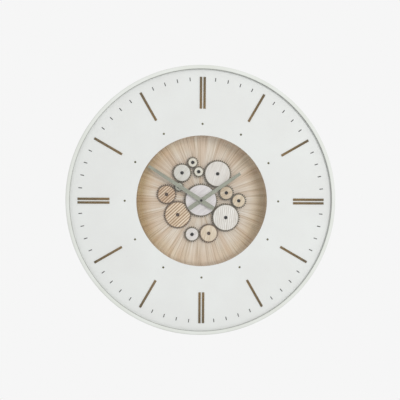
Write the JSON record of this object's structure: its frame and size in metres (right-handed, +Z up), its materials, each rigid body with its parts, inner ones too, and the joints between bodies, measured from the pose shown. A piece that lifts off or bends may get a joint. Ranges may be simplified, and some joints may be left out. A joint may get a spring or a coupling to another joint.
{
  "type": "gear wall clock",
  "caption": "Round glazed wall clock with a white dial, baton hour marks and a sunk round wooden dish that holds a train of meshing wooden gears behind two hands.",
  "frame": {"origin": "on the dial axis, half way between the front edge of the rim and its wall edge", "axes": "+Z up to twelve o'clock, +Y back to the wall, so the clock faces -Y and +X is at three o'clock"},
  "size_m": [0.61, 0.08, 0.61],
  "materials": {
    "grey_board": "laser-cut board, grey-brown stained edge",
    "whitewashed_wood": "whitewashed veneer, matt",
    "natural_wood": "natural veneer, matt",
    "tan_wood": "tan veneer with strong slanted grain, matt",
    "cream_enamel": "cream enamel, satin",
    "clear_glass": "clear, polished",
    "grey_rubber": "matt",
    "white_lacquer": "fibreboard under white lacquer, matt",
    "bronze_metal": "brushed, browned",
    "dark_ink": "printed, matt",
    "radial_veneer": "radial sunburst veneer, matt",
    "raw_board": "raw fibreboard",
    "black_board": "black faced fibreboard",
    "zinc_steel": "zinc plated",
    "steel_pin": "turned",
    "black_plastic": "moulded",
    "brown_plastic": "moulded",
    "white_plastic": "moulded",
    "sage_enamel": "sage enamel, matt",
    "brass": "turned",
    "black_rubber": "matt",
    "cell_jacket": "printed jacket, satin"
  },
  "bodies": {
    "case": {"case_bezel": "cream_enamel", "case_band": "cream_enamel", "front_glass": "clear_glass", "glass_spacer": "grey_rubber", "dial": "white_lacquer", "hour_batons": "bronze_metal", "hour_dots": "bronze_metal", "minute_marks": "dark_ink", "wooden_dish": "radial_veneer", "body_ring": "raw_board", "back_board": "black_board", "board_screws": "zinc_steel", "dish_screws": "zinc_steel", "hanger_screws": "zinc_steel", "hanger_plate": "zinc_steel", "gear_pins": "steel_pin", "black_caps": "black_plastic", "brown_caps": "brown_plastic", "threaded_bush": "brass", "bush_nut": "brass", "bush_clip": "zinc_steel", "bush_washer": "black_rubber", "movement_case": "black_plastic", "drive_case": "black_plastic", "box_covers": "black_plastic", "aa_cells": "cell_jacket"},
    "centre_gear": {"centre_gear": "grey_board", "centre_gear_face": "whitewashed_wood"},
    "lower_right_gear": {"lower_right_gear": "grey_board", "lower_right_gear_face": "whitewashed_wood", "drive_arbor": "black_plastic"},
    "right_gear": {"right_gear": "grey_board", "right_gear_face": "natural_wood"},
    "inner_right_gear": {"inner_right_gear": "grey_board", "inner_right_gear_face": "natural_wood"},
    "upper_right_gear": {"upper_right_gear": "grey_board", "upper_right_gear_face": "whitewashed_wood"},
    "upper_middle_gear": {"upper_middle_gear": "grey_board", "upper_middle_gear_face": "whitewashed_wood"},
    "top_gear": {"top_gear": "grey_board", "top_gear_face": "whitewashed_wood"},
    "upper_left_gear": {"upper_left_gear": "grey_board", "upper_left_gear_face": "whitewashed_wood"},
    "link_gear": {"link_gear": "grey_board", "link_gear_face": "whitewashed_wood"},
    "left_gear": {"left_gear": "grey_board", "left_gear_face": "tan_wood"},
    "lower_left_gear": {"lower_left_gear": "grey_board", "lower_left_gear_face": "tan_wood"},
    "bottom_gear": {"bottom_gear": "grey_board", "bottom_gear_face": "natural_wood"},
    "bottom_left_gear": {"bottom_left_gear": "grey_board", "bottom_left_gear_face": "whitewashed_wood"},
    "minute_hand_set": {"minute_hand": "sage_enamel", "hand_nut": "black_plastic", "minute_shaft": "brass"},
    "hour_hand_set": {"hour_hand": "sage_enamel", "hour_tube": "brass"},
    "setting_knob": {"setting_knob": "white_plastic"},
    "slide_switch": {"slide_switch": "white_plastic"}
  },
  "joints": [
    {"name": "centre_gear_spin", "type": "hinge", "parent": "case", "child": "centre_gear", "pos_m": [0, 0.008, 0], "axis": [0, 1, 0], "continuous": true},
    {"name": "lower_right_gear_spin", "type": "hinge", "parent": "case", "child": "lower_right_gear", "pos_m": [0.0581, 0.008, -0.03993], "axis": [0, 1, 0], "continuous": true},
    {"name": "right_gear_spin", "type": "hinge", "parent": "case", "child": "right_gear", "pos_m": [0.08823, 0.008, -0.00066], "axis": [0, 1, 0], "continuous": true},
    {"name": "inner_right_gear_spin", "type": "hinge", "parent": "case", "child": "inner_right_gear", "pos_m": [0.05898, 0.008, 0.01762], "axis": [0, 1, 0], "continuous": true},
    {"name": "upper_right_gear_spin", "type": "hinge", "parent": "case", "child": "upper_right_gear", "pos_m": [0.03837, 0.008, 0.0618], "axis": [0, 1, 0], "continuous": true},
    {"name": "upper_middle_gear_spin", "type": "hinge", "parent": "case", "child": "upper_middle_gear", "pos_m": [-0.00563, 0.008, 0.06643], "axis": [0, 1, 0], "continuous": true},
    {"name": "top_gear_spin", "type": "hinge", "parent": "case", "child": "top_gear", "pos_m": [-0.01971, 0.008, 0.08769], "axis": [0, 1, 0], "continuous": true},
    {"name": "upper_left_gear_spin", "type": "hinge", "parent": "case", "child": "upper_left_gear", "pos_m": [-0.04431, 0.008, 0.06351], "axis": [0, 1, 0], "continuous": true},
    {"name": "link_gear_spin", "type": "hinge", "parent": "case", "child": "link_gear", "pos_m": [-0.05118, 0.008, 0.03123], "axis": [0, 1, 0], "continuous": true},
    {"name": "left_gear_spin", "type": "hinge", "parent": "case", "child": "left_gear", "pos_m": [-0.0798, 0.008, 0.01335], "axis": [0, 1, 0], "continuous": true},
    {"name": "lower_left_gear_spin", "type": "hinge", "parent": "case", "child": "lower_left_gear", "pos_m": [-0.05362, 0.008, -0.03388], "axis": [0, 1, 0], "continuous": true},
    {"name": "bottom_gear_spin", "type": "hinge", "parent": "case", "child": "bottom_gear", "pos_m": [0.01861, 0.008, -0.07676], "axis": [0, 1, 0], "continuous": true},
    {"name": "bottom_left_gear_spin", "type": "hinge", "parent": "case", "child": "bottom_left_gear", "pos_m": [-0.02032, 0.008, -0.07914], "axis": [0, 1, 0], "continuous": true},
    {"name": "minute_hand_turn", "type": "hinge", "parent": "case", "child": "minute_hand_set", "pos_m": [0, 0, 0], "axis": [0, 1, 0], "continuous": true},
    {"name": "hour_hand_turn", "type": "hinge", "parent": "case", "child": "hour_hand_set", "pos_m": [0, 0, 0], "axis": [0, 1, 0], "continuous": true},
    {"name": "setting_knob_turn", "type": "hinge", "parent": "case", "child": "setting_knob", "pos_m": [0.005, 0.038, 0.00866], "axis": [0, 1, 0], "continuous": true},
    {"name": "drive_switch_slide", "type": "slide", "parent": "case", "child": "slide_switch", "axis": [1, 0, 0], "range_m": [0, 0.004]}
  ],
  "couplings": [
    {"joint": "lower_right_gear_spin", "follows": "centre_gear_spin", "ratio": -1.186},
    {"joint": "right_gear_spin", "follows": "centre_gear_spin", "ratio": 2.2174},
    {"joint": "inner_right_gear_spin", "follows": "centre_gear_spin", "ratio": -2.2174},
    {"joint": "upper_right_gear_spin", "follows": "centre_gear_spin", "ratio": 1.2143},
    {"joint": "upper_middle_gear_spin", "follows": "centre_gear_spin", "ratio": -3},
    {"joint": "top_gear_spin", "follows": "centre_gear_spin", "ratio": 3},
    {"joint": "upper_left_gear_spin", "follows": "centre_gear_spin", "ratio": -1.7586},
    {"joint": "link_gear_spin", "follows": "centre_gear_spin", "ratio": 3.4},
    {"joint": "left_gear_spin", "follows": "centre_gear_spin", "ratio": -1.7},
    {"joint": "lower_left_gear_spin", "follows": "centre_gear_spin", "ratio": 1.2143},
    {"joint": "bottom_gear_spin", "follows": "centre_gear_spin", "ratio": 1.7586},
    {"joint": "bottom_left_gear_spin", "follows": "centre_gear_spin", "ratio": -2.2174},
    {"joint": "hour_hand_turn", "follows": "minute_hand_turn", "ratio": 0.083333},
    {"joint": "setting_knob_turn", "follows": "minute_hand_turn", "ratio": -3}
  ]
}
